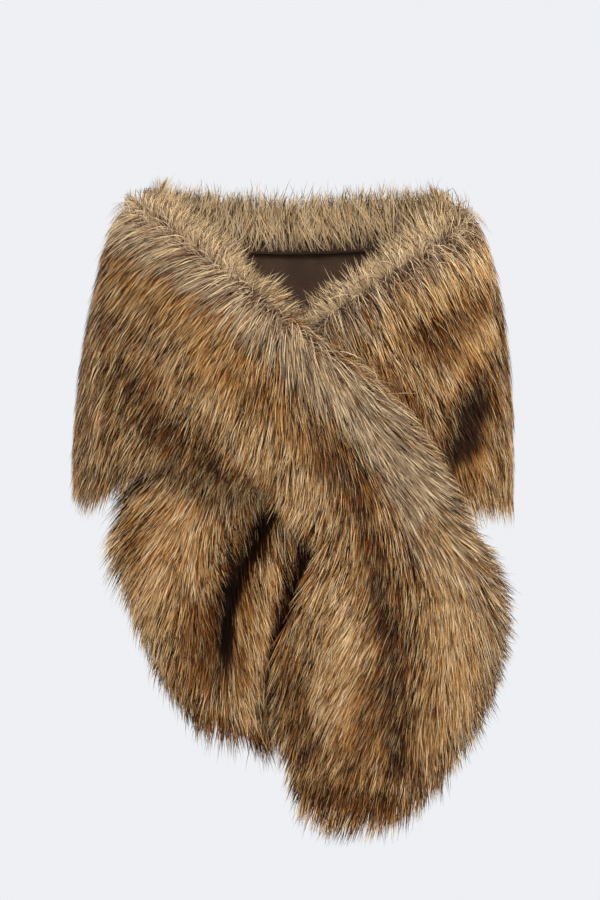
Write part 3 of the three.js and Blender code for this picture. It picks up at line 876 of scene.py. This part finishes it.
def rootsOn(stretch, rng):
    # where every strand is rooted, which ways the cloth lies there, and its three locks
    count = stretch.strands
    place, run = scatterRoots(rng, stretch, count)
    root = SimpleNamespace(count=count, place=place, run=run, width=widthAt(place))
    down, outward, angle = profilePoints(run, cloth["thick"] / 2)
    across = down / root.width
    root.points, root.degrees = flatPoints(place, across, outward)
    root.along, root.over, root.out = wrapFrames(place, across)
    root.ground = np.cos(angle)[:, None] * root.out - np.sin(angle)[:, None] * root.over
    root.straightDown = unit(np.array([0.0, 0.0, -1.0]) + root.out[:, 2:] * root.out)
    root.side = np.cross(root.out, root.straightDown)
    root.turn = angle / math.pi  # 0 on the outside, 1 on the inside
    root.outer = np.maximum(run, 0)
    root.deep = np.maximum(-run - math.pi * cloth["turnRadius"], 0)
    root.zone = smooth(root.outer / fur["foldZone"])  # 0 at the fold, 1 past the zone beside it
    root.upright = smooth((root.turn - 0.16) / 0.3)
    root.tuft = tuftAt(place)
    root.fromEnd = fromEndAt(place)
    root.sideways = runAt(place, across)
    root.lock = locksAt(root.sideways, run, locks["size"], 3)
    root.bigLock = locksAt(root.sideways, run, locks["bigSize"], 8)
    root.fineLock = locksAt(root.sideways, run, locks["fineSize"], 13)
    root.fineNumber = lockNumber(root.fineLock, 31)
    root.lockNumber, root.bigNumber = lockNumber(root.lock, 21), lockNumber(root.bigLock, 22)
    root.stand, root.leanAlong, root.paleShare, root.foldLift, root.rolledShare = (
        np.interp(place, fringeTable[:, 0], fringeTable[:, k]) for k in range(1, 6)
    )
    return root


def lyingWays(root, rng):
    # straight down, turned by the comb, its locks, a soft drift and an angle of its own; past the turn, and for a
    # share beside the fold, up along the inside instead
    comb = combAt(root.place, root.outer, root.width)
    comb += locks["angle"] * (lockNumber(root.lock, 23) - 0.5)
    comb += locks["bigAngle"] * (lockNumber(root.bigLock, 24) - 0.5)
    comb += fur["drift"] * drift(root.points, 90, 5) + rng.normal(0, fur["strandAngle"], root.count)
    comb = np.radians(comb)[:, None]
    lying = np.cos(comb) * root.straightDown + np.sin(comb) * root.side
    lean = inside["leanSpread"] * rng.normal(size=root.count) + locks["bigLean"] * (lockNumber(root.bigLock, 25) - 0.5)
    lean += locks["lean"] * (lockNumber(root.lock, 28) - 0.5) + root.leanAlong
    upwards = unit(lean[:, None] * root.along - root.over)
    lying = unit(mix(lying, upwards, root.upright[:, None]))
    chance = (root.rolledShare + tufts["rollShare"] * root.tuft) * (1 - smooth(root.outer / roll["reach"]))
    rolled = rng.random(root.count) < chance * (root.turn < 0.7)
    raised = rng.uniform(*roll["raised"], root.count)[:, None]
    lying[rolled] = unit(mix(lying, upwards, raised))[rolled]
    return lying, rolled


def strandLifts(root, rolled, rng):
    # the angles at which root and tip leave the cloth: those at the fold to those past its zone, with what locks
    # and the strand add, and on the inside those of the turned fur
    rootLift = mix(root.foldLift, fur["rootLift"], root.zone) + locks["rootLift"] * (root.lockNumber - 0.5)
    rootLift += rng.normal(0, fur["rootLiftSpread"], root.count)
    tipLift = mix(*fur["tipLift"], root.zone) + locks["bigTipLift"] * (root.bigNumber - 0.5)
    tipLift += rng.normal(0, fur["tipLiftSpread"], root.count)
    flyaway = rng.random(root.count) < fur["flyawayShare"]
    tipLift += np.where(flyaway, rng.uniform(*fur["flyawayLift"], root.count), 0)
    tipLift += root.tuft * (1 - root.zone) * tufts["tipLift"]
    tipLift[rolled] = rng.uniform(*roll["tipLift"], root.count)[rolled]
    rootLift = mix(rootLift, inside["rootLift"], root.upright)
    tipLift = mix(tipLift, inside["tipLift"], root.upright)
    return np.radians(rootLift)[:, None], np.radians(tipLift)[:, None]


def strandLengths(stretch, root, rolled, rng):
    # one length, times the shares of strand, lock, end, roll and trim; the turned fur only as long as it may stand
    length = fur["length"] * (1 + fur["lengthSpread"] * rng.normal(size=root.count))
    length *= 1 + locks["length"] * (lockNumber(root.lock, 26) - 0.5)
    length *= 1 + smooth((60 - root.fromEnd) / 40) * (rng.normal(0, ends["lengthSpread"], root.count) + ends["longer"])
    length[rolled] *= rng.uniform(*roll["length"], root.count)[rolled]
    for x, z, radiusX, radiusZ, shorter in trimmed.get(stretch.name, []):
        near = ((root.points[:, 0] - x) / radiusX) ** 2 + ((root.points[:, 2] - z) / radiusZ) ** 2
        length *= 1 - shorter * np.exp(-near)
    tallest = root.stand + root.deep + locks["bigStand"] * (lockNumber(root.bigLock, 27) - 0.5)
    tallest += rng.normal(0, inside["standSpread"], root.count)
    isWisp = rng.random(root.count) < inside["wispShare"]
    tallest += np.where(isWisp, rng.uniform(*inside["wisp"], root.count), 0) + tufts["stand"] * root.tuft
    length = mix(length, np.minimum(length, tallest), root.upright)
    return np.clip(length, fur["shortest"], fur["longest"])


def lockPull(root, rng):
    # a tip is drawn a share of the way to the middles of its three locks
    own = np.clip(locks["pullMiddle"] + locks["pullSpread"] * rng.normal(size=root.count), *locks["pullLimits"])
    downwards = np.where(root.turn > 0.5, -1, 1)[:, None] * root.over
    pull = np.zeros((root.count, 3))
    for lock, share in (
        (root.lock, mix(*locks["pull"], root.zone) * own),
        (root.bigLock, locks["bigPull"] + ends["pull"] * smooth((80 - root.fromEnd) / 50)),
        (root.fineLock, np.full(root.count, locks["finePull"])),
    ):
        sideways, down = (lock.x - root.sideways)[:, None], (lock.y - root.run)[:, None]
        pull += share[:, None] * (sideways * root.along + down * downwards)
    return pull


def strandChart(stretch, root, lying, length, rng):
    # where a strand lies along the colour chart, and where up it its root and its tip are
    shown = root.points + lying * (0.65 * length)[:, None]
    down = root.outer + 0.75 * length * np.sum(lying * root.over, axis=-1)
    # how far the cloth under the strand dips into a fold, for the painted shade in the folds
    valleyShade = np.clip(-folded(shown, root.degrees)[1] / toneMix["valleyShadeDepth"], 0, 1)
    tone = outerTones(stretch, root, shown, down, valleyShade, rng)
    paler = tufts["toneShare"] * root.tuft * (1 - smooth(root.outer / tufts["toneReach"]))
    tone = mix(tone, tufts["tone"], paler * (tone < 0.6))
    turned = smooth(root.turn / 0.4)
    inner = innerTones(root, rng)
    tone = np.where(rng.random(root.count) < turned, inner, tone)
    darkShare = tips["dark"] + tips["darkInside"] * turned + ends["darkTips"] * smooth((110 - root.fromEnd) / 60)
    dark = rng.random(root.count) < darkShare + tips["darkBigLock"] * (root.bigNumber - 0.5)
    along = (np.clip(tone, *toneMix["span"]) + dark) / 2
    return along, mix(*tips["root"], root.zone), rng.uniform(*tips["tip"], root.count)


def growRibbons(steps, strand):
    # a strand's line: steps along a way that turns from rootWay to tipWay, then its locks' pull, a curl and the
    # cloth's folds; its ribbon: pairs of points either side of the line, and one at the tip
    lines, ways = [strand.points], [strand.rootWay]
    for k in range(steps):
        halfway, after = (
            unit(mix(strand.rootWay, strand.tipWay, smooth((k + share) / steps) ** 0.85))
            for share in (0.5, 1)
        )
        lines.append(lines[-1] + halfway * (strand.length / steps)[:, None])
        ways.append(after)
    pairs = []
    for k, (line, way) in enumerate(zip(lines, ways)):
        t = k / steps
        height = np.sum((line - strand.points) * strand.ground, axis=-1)
        lower = strand.highest * np.tanh(height / strand.highest)
        bent = line + strand.ground * (lower - height)[:, None] + strand.pull * t ** 1.5
        bent += strand.side * (fur["curl"] * t * np.sin(strand.phase + t * 3.5))[:, None]
        bent = towardsBox(folded(bent, strand.degrees)[0])
        flat = unit(np.cross(way, strand.ground))
        axis = np.cos(strand.twist)[:, None] * flat + np.sin(strand.twist)[:, None] * np.cross(flat, way)
        share = fur["rootShare"] + fur["middleShare"] * t + fur["tipShare"] * t * t
        half = axis * (strand.breadth * share)[:, None]
        pairs.append(np.stack([bent - half, bent + half], axis=1) if k < steps else bent[:, None, :])
    points = np.concatenate(pairs, axis=1).reshape(-1, 3)
    corners = [2 * k + corner for k in range(steps - 1) for corner in (0, 1, 3, 2)]
    corners = np.array(corners + [2 * steps - 2, 2 * steps - 1, 2 * steps])
    count = len(strand.length)
    loops = np.arange(count)[:, None] * (2 * steps + 1) + corners
    totals = np.tile([4] * (steps - 1) + [3], count)
    up = np.r_[np.repeat(np.arange(steps) / steps, 2), 1.0][corners]
    edge = np.r_[np.tile([-1, 1], steps), 0][corners]
    u = strand.chartAlong[:, None] + 0.003 * edge
    v = mix(strand.chartRoot[:, None], strand.chartTip[:, None], up)
    return points, loops.ravel(), totals, np.stack([u, v], axis=-1).reshape(-1, 2)


def furPiece(stretch, seed):
    # all the strands of a stretch in one mesh, with one segment more for those in the zone beside the fold
    rng = np.random.default_rng(seed)
    root = rootsOn(stretch, rng)
    lying, rolled = lyingWays(root, rng)
    rootLift, tipLift = strandLifts(root, rolled, rng)
    length = strandLengths(stretch, root, rolled, rng)
    outwards = mix(root.ground, root.out, root.upright[:, None])
    strand = dict(
        points=root.points, degrees=root.degrees, ground=root.ground, side=root.side, length=length,
        rootWay=np.cos(rootLift) * lying + np.sin(rootLift) * root.ground,
        tipWay=np.cos(tipLift) * lying + np.sin(tipLift) * outwards,
        pull=lockPull(root, rng),
        breadth=fur["width"] * rng.uniform(*fur["widthShare"], root.count),
        twist=np.radians(rng.uniform(-fur["twist"], fur["twist"], root.count)),
        phase=rng.uniform(0, 2 * math.pi, root.count),
        highest=mix(stretch.rise, fur["highest"], root.zone),
    )
    charted = strandChart(stretch, root, lying, length, rng)
    strand.update(zip(("chartAlong", "chartRoot", "chartTip"), charted))
    inZone = (root.zone < 0.9) | (root.turn > 0)
    parts, past = [], 0
    for group, steps in ((inZone, fur["stepsInZone"]), (~inZone, fur["stepsElsewhere"])):
        chosen = SimpleNamespace(**{name: values[group] for name, values in strand.items()})
        points, loops, totals, chart = growRibbons(steps, chosen)
        parts.append((points, loops + past, totals, chart))
        past += len(points)
    points, loops, totals, chart = (np.concatenate(part) for part in zip(*parts))
    starts = np.r_[0, np.cumsum(totals)[:-1]]
    return meshObject(stretch.name + "Fur", points, loops, starts, totals, furSurface, chart)


for seed, stretch in enumerate(stretches.values()):
    backing, place, width = backingPiece(stretch)
    faceOutwards(backing)
    pile = furPiece(stretch, 40 + seed)
    for piece in (backing, pile):
        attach(piece, "root")
        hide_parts(stretch.name)
    outerWidth = (width - hemMarginAt(place)).mean()
    flatWidth = float(outerWidth + math.pi * cloth["turnRadius"] + cloth["turned"]) * metre

# Floor, light and surroundings

studio = {
    "floorZ": -1.30, "floorRadius": 1.4, "floorSides": 96, "mottle": {"Scale": 9.0, "Detail": 3.0},
    "floorRoughness": 0.8, "floorColors": (linear(208, 210, 214), linear(216, 218, 222)),
    "surround": linear(238, 240, 244), "surroundStrength": 1.0, "lampColor": (1.0, 0.95, 0.88),
    # name, place, power and size of each lamp
    "lamps": [
        ("key", (0.9, -1.6, 1.1), 28, 0.8), ("fill", (-1.5, -1.2, 0.3), 3.5, 1.2), ("rim", (0.4, 1.6, 0.9), 6, 1.0),
    ],
}


def floorMaterial():
    # two light greys, mixed by a soft noise
    material, start, shader = newMaterial("floor")
    where = start.node("ShaderNodeTexCoord", output="Object")
    mottle = start.node("ShaderNodeTexNoise", {"Vector": where, **studio["mottle"]})
    start.plug(mottle.blend(*studio["floorColors"]), shader["Base Color"])
    start.plug(studio["floorRoughness"], shader["Roughness"])
    return material


def makeFloor():
    # a flat disc: one face with its corners on a circle
    sides, radius = studio["floorSides"], studio["floorRadius"]
    angles = np.linspace(0, 2 * math.pi, sides + 1)[:-1]
    ring = np.stack([radius * np.cos(angles), radius * np.sin(angles), np.full(sides, studio["floorZ"])], axis=-1)
    corners, starts, totals = np.arange(sides), np.array([0]), np.array([sides])
    floor = meshObject("floor", ring / metre, corners, starts, totals, floorMaterial(), shadeSmooth=False)


def areaLight(name, where, power, size):
    # a square lamp that looks at the middle of the wrap
    data = bpy.data.lights.new(name, "AREA")
    data.energy = power
    data.size = size
    data.color = studio["lampColor"]
    placeLooking(name, data, where)


def lightScene():
    # an even pale surround, and the lamps
    world = bpy.data.worlds.new("surround")
    world.use_nodes = True
    bpy.context.scene.world = world
    back = world.node_tree.nodes["Background"]
    back.inputs[0].default_value = (*studio["surround"], 1)
    back.inputs[1].default_value = studio["surroundStrength"]
    for lamp in studio["lamps"]:
        areaLight(*lamp)
    bpy.context.scene.view_settings.view_transform = "Standard"


makeFloor()
lightScene()
print("studio set")
